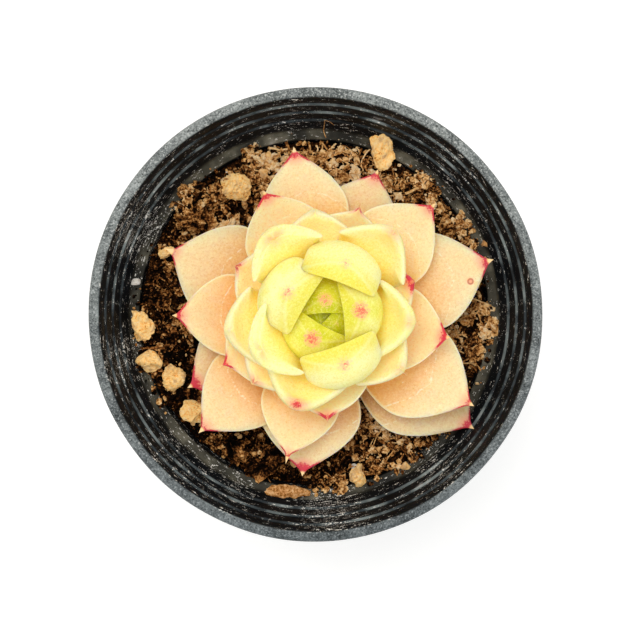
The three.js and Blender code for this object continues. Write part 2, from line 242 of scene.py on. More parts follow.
def makePolypropylene():
    material, add = startMaterial("scuffedPolypropylene")
    here = add("TexCoord").outputs["Object"]
    x, y, height = add("SeparateXYZ", here).outputs
    flat = add("CombineXYZ", x, y, 0.0)
    radius = add("VectorMath", flat, operation="LENGTH").outputs["Value"]
    ringX, ringY, _ = add("SeparateXYZ", add("VectorMath", flat, operation="NORMALIZE")).outputs
    # scratches lie across the lip, and streaks of dust along the ribs
    outwards = add("Math", radius, perMm(3), **times)
    downwards = add("Math", add("Math", height, radius, operation="ADD"), perMm(0.45), **times)
    scratch, streak = [
        add("CombineXYZ", add("Math", ringX, often, **times),
            add("Math", ringY, often, **times), across)
        for often, across in ((150.0, outwards), (26.0, downwards))]
    scratch = add("TexNoise", scratch, Scale=1.0, Detail=3.0)
    streak = add("TexNoise", streak, Scale=1.0, Detail=4.0, Roughness=0.65)
    speck = add("TexNoise", here, Scale=perMm(0.35), Detail=3.0, Roughness=0.7)
    blotch = add("TexNoise", here, Scale=perMm(6), Detail=4.0)
    # worn grey of the lip, with scuffs across it, specks and pits
    lipTop = add("MapRange", height, 78.3 * mm, 79.4 * mm, **eased)
    lipOuter = add("MapRange", radius, 42.8 * mm, 43.3 * mm, **eased)
    lip = add("Math", lipTop, lipOuter, **times)
    worn = add("ValToRGB", blotch, stops=[
        (0.32, "#5a5f5e"), (0.45, "#747978"), (0.56, "#828785"), (0.7, "#959a98")])
    scuffs = add("MapRange", scratch, 0.66, 0.78, 0, 0.6, **eased)
    specks = add("MapRange", speck, 0.54, 0.66, 0, 0.75)
    pits = add("MapRange", speck, 0.47, 0.34, 0, 0.9)
    for share, tint in ((scuffs, "#b4b8b6"), (specks, "#cfd2ce"), (pits, "#1f2322")):
        worn = add("MixRGB", share, worn, tint)
    # painted shade: the lip's worn grey is darker towards the side of -Y
    shadedSide = add("MapRange", ringY, 0.9, -0.9, 0, 0.8)  # on the side of -Y
    worn = add("MixRGB", shadedSide, worn, "#a9b0b8", blend_type="MULTIPLY")
    # soil rubbed into the ledge
    ledgeTop = add("MapRange", height, 65.5 * mm, 64.6 * mm, **eased)
    ledgeFoot = add("MapRange", height, 63.4 * mm, 63.8 * mm, **eased)
    ledge = add("Math", ledgeTop, ledgeFoot, **times)
    soiled = add("ValToRGB", blotch, stops=[
        (0.3, "#161613"), (0.45, "#302f29"), (0.56, "#4a483d"), (0.72, "#7c7868")])
    # the ribs stand 4 mm apart; their treads are painted grey, partly rubbed wear and partly a
    # painted highlight
    offTread = add("Math", height, 68.1 * mm, operation="SUBTRACT")
    offTread = add("Math", offTread, 2 * mm, operation="PINGPONG")
    tread = add("MapRange", offTread, 0.35 * mm, 0.1 * mm, **eased)
    aboveLedge = add("MapRange", height, 65.5 * mm, 66.5 * mm)
    tread = add("Math", tread, aboveLedge, **times)
    rubbedAndLit = add("ValToRGB", blotch, stops=[
        (0.35, "#12171a"), (0.48, "#343c40"), (0.66, "#7c8686")])
    # broken lines of dust
    dustiness = add("Attribute", attribute_name="dust").outputs["Fac"]
    dust = add("Math", dustiness, 0.12, streak, **timesPlus)
    dust = add("MapRange", dust, 0.61, 0.65, **eased)
    grains = add("MapRange", speck, 0.5, 0.55, **eased)
    dust = add("Math", dust, grains, **times)
    colour = add("ValToRGB", blotch, stops=[(0.3, "#05080b"), (0.7, "#0d1217")])
    for share, tint in ((ledge, soiled), (tread, rubbedAndLit), (dust, "#f2f0e8"), (lip, worn)):
        colour = add("MixRGB", share, colour, tint)
    rough = add("MapRange", blotch, To_Min=0.42, To_Max=0.62)
    relief = add("Math", streak, speck, operation="ADD")
    bump = add("Bump", Height=relief, Strength=0.35, Distance=0.12 * mm)
    add("OutputMaterial", add("BsdfPrincipled", Base_Color=colour, Roughness=rough, Normal=bump,
                              IOR=1.49, Specular_IOR_Level=0.15, Metallic=0.0))
    return material


def makePot(material):
    wall, top, rim, foot, ledge, ledgeInner, ledgeOuter = [pot[name] for name in (
        "wall", "height", "rimRadius", "footRadius", "ledge", "ledgeInner", "ledgeOuter")]
    lipFoot = top - pot["lipDrop"]
    profile = [
        (0, pot["floorHeight"] - wall), (foot - pot["footRing"], pot["footHeight"]),
        (foot - pot["footRing"], 0), (foot, 0),
        (ledgeInner + wall, ledge - wall * 1.4), (ledgeOuter + wall * 0.9, ledge - wall),
    ]
    profile += [(r + wall, top - d - wall * 0.6) for r, d in reversed(pot["collar"][1:])]
    profile += [(rim - wall, lipFoot - 0.6), (rim - 0.1, lipFoot),
                (rim, top - 0.5), (rim - 0.4, top), (rim - pot["lipWidth"], top)]
    for number, (r, d) in enumerate(pot["collar"]):
        if number:
            profile.append((r + pot["ribTread"], top - d + 0.15))
        profile.append((r, top - d))
    profile += [(ledgeOuter, ledge + 0.4), (ledgeInner, ledge),
                (foot - wall, pot["floorHeight"]), (0, pot["floorHeight"])]
    bm = spinProfile(profile, pot["steps"])
    # the corners above the foot ring are rounded
    sharp = [e for e in bm.edges if len(e.link_faces) == 2 and e.calc_face_angle(0) > 0.5
             and min(Vector(v.co[:2]).length for v in e.verts) > (foot + 0.5) * mm]
    bmesh.ops.bevel(bm, geom=sharp, offset=pot["rounding"] * mm, offset_type="OFFSET", segments=2,
                    profile=0.5, affect="EDGES", material=-1)
    bm.normal_update()
    dust = bm.verts.layers.float.new("dust")
    for vert in bm.verts:
        x, y, z = vert.co / mm
        if vert.normal.x * x + vert.normal.y * y > 0 and vert.normal.z < 0.4:
            vert[dust] = 0.5 * ease(40, 5, z) - 0.6  # outside: a little, low down
        else:
            vert[dust] = azimuthShare(x, y, pot["dustPatches"], 5)
        if vert.normal.z > 0.4 and z < top - 1:
            vert[dust] += pot["treadDust"]
        if z > 60:  # the thin wall isn't quite round
            sway = noise.noise(Vector((x, y, 0)) / pot["wobbleLength"]) * pot["wobble"]
            push = 1 + sway * ease(60, top, z) / math.hypot(x, y)
            vert.co.x *= push
            vert.co.y *= push
    piece = finishPiece("pot_shell", bm, material, ["pot"])
    cutters = bmesh.new()
    for number in range(pot["drainCount"]):
        angle = math.tau * number / pot["drainCount"]
        spot = Vector((math.cos(angle), math.sin(angle), 0)) * pot["drainCircle"] * mm
        bmesh.ops.create_cone(cutters, cap_ends=True, segments=32, radius1=pot["drainRadius"] * mm,
                              radius2=pot["drainRadius"] * mm, depth=12 * mm,
                              matrix=Matrix.Translation(spot))
    cutterMesh = bpy.data.meshes.new("drainCutters")
    cutters.to_mesh(cutterMesh)
    cutters.free()
    cutter = bpy.data.objects.new("drainCutters", cutterMesh)
    scene.collection.objects.link(cutter)
    holes = piece.modifiers.new("drains", "BOOLEAN")
    holes.object, holes.operation, holes.solver = cutter, "DIFFERENCE", "EXACT"
    bpy.context.view_layer.update()
    finished = piece.evaluated_get(bpy.context.evaluated_depsgraph_get())
    cut = bpy.data.meshes.new_from_object(finished)
    piece.modifiers.clear()
    piece.data = cut
    bpy.data.objects.remove(cutter)


makePot(makePolypropylene())
print("pot ready")


# The soil: moist peat with lumps, fibres, bark and grit. Dark where it is wet, with painted shade
# in its gaps and dents, orange-brown to tan where its lumps have dried.
soil = {
    "surface": 61.4, "lump": 0.8, "heap": 2.4, "lowAzimuth": 252, "heapInner": 24, "heapWidth": 10,
    "bottom": 3.8, "shoulder": 58, "rings": 90, "steps": 320, "roughness": 0.6, "sink": 1.5,
    "spills": [  # azimuths where it lies on the ledge
        (22, 35), (43, 56), (109, 114), (131, 143), (172, 213), (268, 281), (288, 322), (342, 364),
    ],
    "spillSlope": (33, 36), "spillRise": 0.6,  # radii where it climbs, and how high over the ledge
    # paler and darker stretches: from, to, how much
    "dry": [(55, 112, 0.26), (288, 335, 0.16), (335, 375, 0.14), (20, 55, 0.14)],
    "wet": [(150, 285, 0.13), (215, 262, 0.18)],
    "clods": [  # azimuth, radius, size: the biggest lumps
        (237, 32.2, (5.6, 6.4, 4.6)), (252, 32.6, (8.4, 6.2, 4.0)),
        (142, 31.8, (6.6, 6.0, 4.6)), (328, 31.4, (6.4, 5.4, 4.2)),
    ],
    "lumps": [  # name, doublings, detail, widths
        ("soil_clods", 5, 5, (3.4, 5.2)), ("soil_lumps", 7, 4, (2, 3.6)),
        ("soil_pellets", 11, 2, (0.8, 2)),
    ],
    "crumbs": 13,  # doublings
    # where each sort lies: nearest, farthest, and the share of it under the leaves
    "lumpRing": (14, 35.4, 0.12), "crumbRing": (14, 36.3, 0.1), "fibreRing": (15, 35.5, 0.05),
    "fallen": 0.14, "fallenRing": (34.5, 37.6),  # lumps over the ledge
    "spilt": 0.1, "spiltRing": (36.3, 38.2),  # crumbs on the ledge
    "stuck": 0.62,  # crumbs on the lumps
    "lumpTints": [-0.14, -0.05, 0.04, 0.14, 0.26, 0.4],
    "crumbTints": [-0.15, -0.05, 0.06, 0.2, 0.34, 0.5],
    "fibres": [  # name, doublings, bends, lengths, half thicknesses
        ("soil_splinters", 11, 3, (0.7, 3.3), (0.05, 0.17)),
        ("soil_twigs", 8, 9, (2.4, 7.5), (0.1, 0.24)),
    ],
    "rootHair": [
        (2.35, 37, 64.4), (1.9, 38.2, 64.6), (1.9, 38.9, 66.2), (1.95, 39.4, 69),
        (1.95, 39.5, 71.4), (2.9, 39.4, 70.5), (3.9, 39.1, 68),
    ],
}
rng = random.Random(7)
noise.seed_set(7)  # noise_vector starts from the clock otherwise


def smoothRandom(x, y, seed):  # the part's own relief, from -1 to 1
    column, row = math.floor(x), math.floor(y)

    def corner(i, j):
        return chance((column + i) * 57 + (row + j) * 131 + seed) * 2 - 1

    near = mix(corner(0, 0), corner(1, 0), ease(0, 1, x - column))
    far = mix(corner(0, 1), corner(1, 1), ease(0, 1, x - column))
    return mix(near, far, ease(0, 1, y - row))


def spillAt(x, y):
    return azimuthShare(x, y, [(low - 1, high + 1, 1) for low, high in soil["spills"]], 2.5)


def dryness(x, y):
    return azimuthShare(x, y, soil["dry"], 12) - azimuthShare(x, y, soil["wet"], 15)


def groundHeight(x, y):  # as in the part, and heaped over the ledge where it spills
    wave = smoothRandom(x / 5.5, y / 5.5, 7) * 0.65 + smoothRandom(x / 2.4, y / 2.4, 29) * 0.35
    reach = math.hypot(x, y)
    outward = min(1, max(0, (reach - soil["heapInner"]) / soil["heapWidth"]))
    toLow = max(0, math.cos(math.atan2(y, x) - math.radians(soil["lowAzimuth"])))
    height = soil["surface"] + soil["lump"] * wave
    height += soil["heap"] * outward * min(1, 1.2 - 1.2 * toLow ** 2)
    if reach > soil["spillSlope"][0]:
        share = spillAt(x, y) * ease(*soil["spillSlope"], reach)
        height = max(height, mix(height, pot["ledge"] + soil["spillRise"], share))
    return height


def keepInside(spot):  # nothing loose goes into the ledge or through the wall
    away = math.hypot(spot.x, spot.y)
    if away > pot["ledgeInner"] - 0.15:
        spot.z = max(spot.z, pot["ledge"] + 0.03)
        most = pot["ledgeOuter"] + (spot.z - pot["ledge"]) * 0.3
        if away > most:
            spot.x, spot.y = spot.x * most / away, spot.y * most / away
    return spot


def makePeat():
    material, add = startMaterial("moistPeat")
    here = add("TexCoord").outputs["Object"]
    tone = add("Attribute", attribute_name="tone").outputs["Fac"]
    grain = add("TexNoise", here, Scale=perMm(0.5), Detail=4.0, Roughness=0.7)
    patch = add("TexNoise", here, Scale=perMm(3.5), Detail=3.0)
    silt = add("TexNoise", here, Scale=perMm(1.8), Detail=2.0)
    blend = add("Math", grain, 1.25, tone, **timesPlus)
    blend = add("Math", patch, 0.4, blend, **timesPlus)
    blend = add("Math", blend, 0.56, operation="SUBTRACT")
    brown = add("ValToRGB", blend, stops=[
        (0.0, "#060301"), (0.2, "#140904"), (0.32, "#42240e"), (0.45, "#935c2c"), (0.6, "#d09858"),
        (0.78, "#f4c888"), (1.0, "#fadeb0")])
    grey = add("ValToRGB", blend, stops=[(0.0, "#100c0a"), (0.4, "#4a3a2a"), (0.75, "#b8a080")])
    silted = add("MapRange", silt, 0.58, 0.68, 0, 0.15, **eased)
    colour = add("MixRGB", silted, brown, grey)
    bump = add("Bump", Height=grain, Strength=0.8, Distance=0.3 * mm)
    add("OutputMaterial", add("BsdfPrincipled", Base_Color=colour, Normal=bump,
                              Roughness=0.95, IOR=1.4, Specular_IOR_Level=0.08))
    return material


def breaksOf(dice, count, depths, upright=1):  # the planes that a lump broke off at
    return [(Vector((dice.gauss(0, 1), dice.gauss(0, 1), dice.gauss(0, upright))).normalized(),
             dice.uniform(*depths)) for _ in range(count)]


def chipAway(point, breaks):  # flattens a lump of radius 1 there
    for side, depth in breaks:
        over = point.dot(side) - depth
        if over > 0:
            point = point - side * over
    return point


def makeBed(material):
    rim = pot["ledgeInner"] - 0.5
    foot = pot["footRadius"] - pot["wall"] - 0.6
    profile = [(0, soil["bottom"]), (foot, soil["bottom"]), (rim - 0.3, soil["shoulder"])]
    rings = soil["rings"]
    profile += [(rim * ring / rings, soil["surface"]) for ring in range(rings, -1, -1)]
    bm = spinProfile(profile, soil["steps"])
    tone = bm.verts.layers.float.new("tone")
    for vert in bm.verts:
        x, y, z = vert.co / mm
        if z > 60:
            rough = noise.fractal(Vector((x, y, 3)) / 2.2, 0.8, 2.2, 5) * soil["roughness"]
            vert.co.z = (groundHeight(x, y) - soil["sink"] + rough) * mm
            # painted shade: the bed is darker where it lies lower
            vert[tone] = -0.08 + 0.15 * rough
    finishPiece("soil_bed", bm, material, ["soil"])


def spreadOver(nearest, farthest, hidden):  # a random place in this ring, or under the leaves
    azimuth = rng.uniform(0, math.tau)
    low, high = (1, nearest) if rng.random() < hidden else (nearest, farthest)
    return polar(math.sqrt(rng.uniform(low ** 2, high ** 2)), azimuth)


def startLump(detail):
    bm = bmesh.new()
    tone = bm.verts.layers.float.new("tone")
    bmesh.ops.create_icosphere(bm, subdivisions=detail, radius=1)
    return bm, tone


def startRod(segments, radii, cuts):  # of length 1, with rings to bend it at
    bm = bmesh.new()
    tone = bm.verts.layers.float.new("tone")
    bmesh.ops.create_cone(bm, cap_ends=True, segments=segments, radius1=radii[0],
                          radius2=radii[1], depth=1)
    along = [e for e in bm.edges if abs(e.verts[0].co.z - e.verts[1].co.z) > 0.5]
    bmesh.ops.subdivide_edges(bm, edges=along, cuts=cuts)
    return bm, tone


def makeLumps(material, name, doublings, detail, widths):
    lumps = []
    placed = soil["clods"] if name == "soil_clods" else []
    bm, tone = startLump(detail)
    for number, verts in enumerate(copiesOf(bm, doublings)):
        if number < len(placed):
            azimuth, reach, size = placed[number]
            x, y = polar(reach, math.radians(azimuth))
            tint = 0.1 + dryness(x, y)
        else:
            x, y = spreadOver(*soil["lumpRing"])
            if rng.random() < soil["fallen"]:
                azimuth = math.radians(rng.uniform(*rng.choice(soil["spills"])))
                x, y = polar(rng.uniform(*soil["fallenRing"]), azimuth)
            width = rng.uniform(*widths) * (0.75 if math.hypot(x, y) > 34 else 1)
            size = (width, width * rng.uniform(0.65, 1.1), width * rng.uniform(0.55, 0.9))
            tint = rng.choice(soil["lumpTints"]) + dryness(x, y)
        middle = Vector((x, y, groundHeight(x, y) - 0.4 + size[2] * rng.uniform(0.05, 0.3)))
        turnBy = Matrix.Rotation(rng.uniform(0, math.tau), 3, "Z")
        turnBy = turnBy @ Matrix.Rotation(rng.uniform(-0.6, 0.6), 3, "X")
        shift = Vector((number * 7.3, number * 3.1, detail))
        breaks = breaksOf(rng, 7, (0.45, 0.8))
        for vert in verts:
            rough = noise.fractal(vert.co * 1.6 + shift, 0.55, 2.2, detail + 1)
            push = 1 + (0.5 if detail > 2 else 0.25) * rough
            point = scaled(chipAway(vert.co, breaks) * 1.25, size) / 2 * push
            vert.co = keepInside(middle + turnBy @ point) * mm
            # painted shade: each lump is darker in its dents and paler on its bumps
            vert[tone] = tint + 0.45 * rough
        lumps.append((middle, size, tint))
    finishPiece(name, bm, material, smooth=False)
    return lumps


def makeCrumbs(material, lumps):
    bm, tone = startLump(1)
    for verts in copiesOf(bm, soil["crumbs"]):
        size = 0.3 + 1.1 * rng.random() ** 2.6
        if rng.random() < soil["stuck"]:
            middle, reach, tint = rng.choice(lumps)
            side = Vector((rng.gauss(0, 1), rng.gauss(0, 1), abs(rng.gauss(0, 1)) + 0.1))
            place = middle + scaled(side.normalized(), reach) * 0.47
            tint += rng.uniform(-0.22, 0.28)
        else:
            x, y = spreadOver(*soil["crumbRing"])
            height = groundHeight(x, y) - 0.7
            if rng.random() < soil["spilt"]:
                share = rng.uniform(*soil["spiltRing"]) / math.hypot(x, y)
                if rng.random() < spillAt(x, y) + 0.1:
                    x, y, size = x * share, y * share, size * 0.8
                    height = pot["ledge"] + size * 0.25
            place = Vector((x, y, height + size * rng.uniform(0, 0.4)))
            tint = rng.choice(soil["crumbTints"]) + dryness(x, y)
        shape = Vector((1, rng.uniform(0.5, 1), rng.uniform(0.4, 0.9))) * size / 2
        turnBy = Matrix.Rotation(rng.uniform(0, math.tau), 3, "Z")
        turnBy = turnBy @ Matrix.Rotation(rng.uniform(-0.8, 0.8), 3, "Y")
        for vert in verts:
            point = scaled(vert.co, shape) * rng.uniform(0.7, 1.3)
            vert.co = keepInside(place + turnBy @ point) * mm
            vert[tone] = tint
    finishPiece("soil_crumbs", bm, material, smooth=False)


def makeFibres(material, name, doublings, bends, lengths, thicks):  # woody, a little bent
    bm, tone = startRod(4, (1, 0.6), bends)
    for number, verts in enumerate(copiesOf(bm, doublings)):
        x, y = spreadOver(*soil["fibreRing"])
        length, thick = mix(*lengths, rng.random() ** 2.2), rng.uniform(*thicks)
        heading, climb = rng.uniform(0, math.tau), rng.uniform(-0.35, 0.35)
        ahead = Vector((math.cos(heading), math.sin(heading), climb))
        aside = Vector((-math.sin(heading), math.cos(heading), 0))
        bend, lift = rng.uniform(-0.25, 0.25) * length, rng.uniform(-0.1, 0.9)
        tint = rng.uniform(-0.1, 0.35) + dryness(x, y)
        for vert in verts:
            share = vert.co.z + 0.5
            middle = Vector((x, y, 0)) + ahead * length * (share - 0.5)
            middle += aside * bend * math.sin(share * math.pi)
            wander = noise.noise_vector(Vector((share * length / 1.6, number * 7.1, 0)))
            middle += wander * 0.12 * min(length, 3)
            away = math.hypot(middle.x, middle.y)
            if away > 37:
                middle.x, middle.y = middle.x * 37 / away, middle.y * 37 / away
            middle.z += max(groundHeight(x, y), pot["ledge"] if away > 36 else 0) - 0.3 + lift
            around = aside * vert.co.x * thick * 1.4 + Vector((0, 0, vert.co.y * thick * 0.7))
            vert.co = keepInside(middle + around) * mm
            vert[tone] = tint
    finishPiece(name, bm, material, smooth=False)


def makeRootHair(material):  # one dry root that leans on the wall, smooth through its spots
    path = [Vector(spot) for spot in soil["rootHair"]]
    bm, tone = startRod(6, (0.11, 0.06), 31)
    for vert in bm.verts:
        share = (vert.co.z + 0.5) * (len(path) - 1)
        start = min(len(path) - 2, int(share))
        a, b, c, d = [path[max(0, min(len(path) - 1, start + k))] for k in (-1, 0, 1, 2)]
        f = share - start
        spot = b + (c - a) * f / 2 + (a * 2 - b * 5 + c * 4 - d) * f * f / 2
        spot += (b * 3 - a - c * 3 + d) * f ** 3 / 2
        vert.co = (spot + Vector((vert.co.x, vert.co.y * 0.5, vert.co.y * 0.9))) * mm
        vert[tone] = 0.35
    finishPiece("root_hair", bm, material, smooth=False)


peat = makePeat()
makeBed(peat)
lumps = []
for kind in soil["lumps"]:
    lumps += makeLumps(peat, *kind)
makeCrumbs(peat, lumps)
for kind in soil["fibres"]:
    makeFibres(peat, *kind)
makeRootHair(peat)
print("soil ready")


# Grit: crumbs of fired clay and a few white flakes of perlite, dusty and dull
grit = {
    "doublings": 7,
    "placed": [  # x, y, size, white
        (-37.4, 6.6, 2.3, True), (8.3, -32.2, 1.6, True), (38.5, 10.0, 1.0, True),
        (36.2, 15.0, 2.6, False), (26.7, -21.2, 4.2, False), (19.1, -32.0, 2.4, False),
        (-10.6, 29.6, 2.2, False), (-8.6, 21.5, 2.0, False),
    ],
}


def makeFiredClay():
    material, add = startMaterial("firedClayGrit")
    here = add("TexCoord").outputs["Object"]
    whiteness, dull = [
        add("Attribute", attribute_name=name).outputs["Fac"] for name in ("tone", "dull")]
    pores = add("TexNoise", here, Scale=perMm(0.5), Detail=5.0, Roughness=0.7)
    patch = add("TexNoise", here, Scale=perMm(2.4), Detail=3.0)
    shade = add("Math", patch, 0.4, add("Math", pores, 0.6, **times), **timesPlus)
    # painted shade: the low pores, which are the dents of the bump, are painted dark
    ochre = add("ValToRGB", shade, stops=[
        (0.35, "#8a5626"), (0.41, "#eca854"), (0.47, "#ffd082"), (0.58, "#ffdca0"),
        (0.72, "#fff0d0")])
    white = add("ValToRGB", shade, stops=[(0.3, "#9d9489"), (0.5, "#d8d2c8"), (0.7, "#f4f1ea")])
    colour = add("MixRGB", whiteness, ochre, white)
    stain = add("MapRange", patch, 0.56, 0.66, 0, 0.5, **eased)
    for share, tint in ((stain, "#a8845e"), (dull, "#b98a58")):
        colour = add("MixRGB", share, colour, tint, blend_type="MULTIPLY")
    bump = add("Bump", Height=pores, Strength=0.9, Distance=0.35 * mm)
    # painted light: the grit and stones glow a little in their own colour
    add("OutputMaterial", add(
        "BsdfPrincipled", Base_Color=colour, Emission_Color=colour, Emission_Strength=0.1,
        Normal=bump, Roughness=0.9, IOR=1.45, Specular_IOR_Level=0.2))
    return material


def makeGrit(material):
    bm, tone = startLump(2)
    dull = bm.verts.layers.float.new("dull")
    for number, verts in enumerate(copiesOf(bm, grit["doublings"])):
        if number < len(grit["placed"]):
            x, y, size, white = grit["placed"][number]
        else:
            azimuth, reach = rng.uniform(0, 360), math.sqrt(rng.uniform(18 ** 2, 35.5 ** 2))
            x, y = polar(reach, math.radians(azimuth))
            size, white = 0.6 + 1.5 * rng.random() ** 2.2, rng.random() < 0.12
        height = pot["ledge"] if math.hypot(x, y) > 36.5 else groundHeight(x, y)
        place = Vector((x, y, height + size * 0.22))
        shape = Vector((1, rng.uniform(0.65, 1), rng.uniform(0.5, 0.85))) * size / 2
        turnBy = Matrix.Rotation(rng.uniform(0, math.tau), 3, "Z")
        breaks = breaksOf(rng, 7, (0.4, 0.8))
        dirt = 0 if white else rng.uniform(0.1, 0.75)
        for vert in verts:
            point = scaled(chipAway(vert.co, breaks) * 1.15, shape)
            vert.co = keepInside(place + turnBy @ point) * mm
            vert[tone], vert[dull] = 1.0 if white else 0.05, dirt
    finishPiece("soil_grit", bm, material, smooth=False)


def makeStone(name, material, key, lopsided=0.28):  # the part's own stone, broken and pitted
    bm = bmesh.new()
    bm.from_mesh(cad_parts[name].data)
    bmesh.ops.remove_doubles(bm, verts=bm.verts[:], dist=0.001 * mm)
    bmesh.ops.subdivide_edges(bm, edges=bm.edges[:], cuts=7, use_grid_fill=True, smooth=0.5)
    low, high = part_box(name)
    middle, half = (low + high) / 2, (high - low) / 2
    breaks = breaksOf(random.Random(key), 11, (0.5, 0.84), 0.8)
    shift = Vector((key * 3.7, 0, key * 1.3))
    for vert in bm.verts:
        point = Vector([c / size for c, size in zip(vert.co - middle, half)])
        swell = 1.18 + lopsided * noise.noise(point.normalized() * 0.9 + shift)
        point = chipAway(point, breaks) * swell
        point = scaled([max(-1, min(1, c)) for c in point], half) / mm
        hollow = noise.fractal(point / 1.7 + shift, 0.6, 2.1, 5) * 0.42
        hollow -= 0.3 * ease(0.25, 0.5, noise.noise(point / 0.8 + shift))
        vert.co = middle + (point + point.normalized() * hollow) * mm
    bmesh.ops.recalc_face_normals(bm, faces=bm.faces[:])
    finishPiece(name + "_rough", bm, material, [name], smooth=False)


# Dry bark and the stem's cork: dull, fibrous and cracked, with paler ridges
corks = {
    "dryBark": {
        "stops": [(0.35, "#5a3216"), (0.44, "#b07236"), (0.53, "#e4aa6a"), (0.66, "#fadcae")],
        "fibre": {"Detail": 6.0, "Roughness": 0.75}, "bump": (0.9, 0.4),
        "surface": {"Roughness": 0.85, "IOR": 1.4, "Specular_IOR_Level": 0.2},
    },
    "corkyStem": {
        "stops": [(0.35, "#6d5a34"), (0.5, "#9a8a52"), (0.65, "#c0b676")],
        "fibre": {"Detail": 5.0}, "bump": (0.6, 0.3),
        "surface": {"Roughness": 0.8, "Specular_IOR_Level": 0.3},
    },
}


def makeCork(name):
    material, add = startMaterial(name)
    cork = corks[name]
    strength, depth = cork["bump"]
    here = add("TexCoord").outputs["Object"]
    fibre = add("TexNoise", here, Scale=perMm(0.8), **cork["fibre"])
    colour = add("ValToRGB", fibre, stops=cork["stops"])
    bump = add("Bump", Height=fibre, Strength=strength, Distance=depth * mm)
    add("OutputMaterial", add("BsdfPrincipled", Base_Color=colour, Normal=bump, **cork["surface"]))
    return material


firedClay = makeFiredClay()
makeGrit(firedClay)
for key, name in enumerate(sorted(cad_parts)):
    if name.startswith("stone"):
        makeStone(name, firedClay, key)
makeStone("bark_chip", makeCork("dryBark"), 99, 0.1)
print("grit and stones ready")


# The stem: a short corky stalk, hidden under the leaves
stem = {
    "axisX": 1.5, "bottom": 48, "top": 77, "lowestLeaf": 63.8, "highestLeaf": 75.5,
    "radius": 4.2, "tipRadius": 1.2, "steps": 48,
}


def makeStem(material):
    radius, bottom, lowest, highest = [
        stem[name] for name in ("radius", "bottom", "lowestLeaf", "highestLeaf")]
    profile = [(0, bottom), (radius * 0.6, bottom), (radius * 0.9, bottom + 4),
               (radius, lowest), (radius * 0.7, mix(lowest, highest, 0.6)),
               (stem["tipRadius"], highest), (0, stem["top"])]
    bm = spinProfile(profile, stem["steps"], 6)
    for vert in bm.verts:
        push = 1 + 0.07 * noise.fractal(vert.co / mm / 1.5, 0.8, 2.0, 4)
        vert.co.x, vert.co.y = vert.co.x * push + stem["axisX"] * mm, vert.co.y * push
    finishPiece("stem_bark", bm, material, ["stem"])


makeStem(makeCork("corkyStem"))
print("stem ready")


# The leaves: plump, waxy, slightly translucent. Lime at the heart, lemon, then cream and
# peach outwards, with red points, pale margins and a bloom of fine specks.
leaves = {
    "firstAzimuth": 41.5, "turn": 138.4,
    "rows": [  # sway, reach, width and, on hooded leaves, bulge, as in the part
        [0, -0.8, 6.5, 2.4], [0, -0.4, 7.5, 3.2], [0, 0.6, 9, 4.6], [-5, 0.4, 10.5, 6.0],
        [5, 2.0, 12.5, 8.4], [-6, 3.3, 12.6, 9.6], [-3, 4.4, 14.2, 11.8], [0, 6.2, 15.4, 12.4],
        [1, 6.7, 15.2, 12.4], [2, 14.1, 15], [10, 15.9, 15], [0, 18.0, 15.4],
        [-10, 17.9, 16.4], [10, 20.4, 16], [10, 18.5, 15.4], [7, 17.7, 15], [0, 19.8, 15],
        [-11, 18.8, 15], [8, 18.1, 15.6], [0, 19.7, 15], [-18, 20.3, 16.6], [4, 22.2, 16],
        [0, 22.1, 16.4], [5, 24.7, 17], [-7, 26.6, 17], [-6, 28.8, 16], [5, 30.7, 17.6],
        [2, 29.4, 16.6], [12, 34.6, 20], [5, 33.4, 18], [-10, 33.8, 17.4], [6, 35.5, 20.6],
        [7, 33.3, 21], [-26, 32.4, 21], [2, 30.9, 18], [3, 30.6, 19.5], [-21, 38.4, 22],
    ],
    "baseHeights": (stem["highestLeaf"], stem["lowestLeaf"]), "baseRadii": (0.8, 3.4),
    "hoodEnds": (88, 91.6), "openEnds": (90.6, 69),
    "thickness": 2.8, "around": 48, "along": 72,
    "foldLine": (0.9, 0.085, 1.2),  # on a hooded leaf: its middle, its rise to the sides, its bow
    "mucros": (0.5, 0.9),  # how far the point stands out, on the inmost and on the open leaves
    # by the leaf's number: ends that curl inwards, ends drawn out to a slender point,
    # longer points, how long the point's dry end is (else 1), how strongly the front
    # glows with painted light, and how much more orange it is
    "tucked": {9: 0.9, 10: -0.25, 11: 1, 12: -0.05, 13: -0.08, 14: 0.05, 15: 0.05},
    "pinched": {17: 0.7, 19: 0.85, 20: 0.6, 21: 0.9, 22: 0.7},
    "spikes": {25: 1.1, 32: 0.5},
    "dryMm": {25: 1.8, 29: 1.2, 31: 1.3, 32: 1.9, 30: 1.3},
    "lit": {12: 0.15, 14: 0.2, 16: 0.2, 17: 0.2, 19: 0.19, 22: 0.13},
    "ruddy": {22: 0.12, 23: 0.22, 25: 0.25, 27: 0.28, 28: 0.15, 30: 0.22, 33: 0.12, 35: 0.22},
    "blush": [  # how red each point is
        0, 0, 0.2, 0.5, 0.72, 0.74, 0.45, 0.44, 0.34, 0.3, 0.35, 0.36, 0.6, 0.4, 0.2, 0.3, 0.2,
        0.5, 0.75, 0.66, 0.8, 0.64, 0.85, 0.9, 0.85, 0.9, 0.8, 0.8, 0.7, 0.9, 0.75, 0.9, 0.8,
        1.05, 0.8, 1.1, 0.9,
    ],
    "scar": (31.6, 6.75, 72.3),
    "slots": [("leaf_heart", 6), ("leaf_inner", 16), ("leaf_middle", 25), ("leaf_outer", 37)],
}
leafMarks = ("along", "across", "face", "age", "blush", "tipMm", "hood", "lit", "ruddy", "dryMm")
hoods = sum(len(row) > 3 for row in leaves["rows"])
last = len(leaves["rows"]) - 1


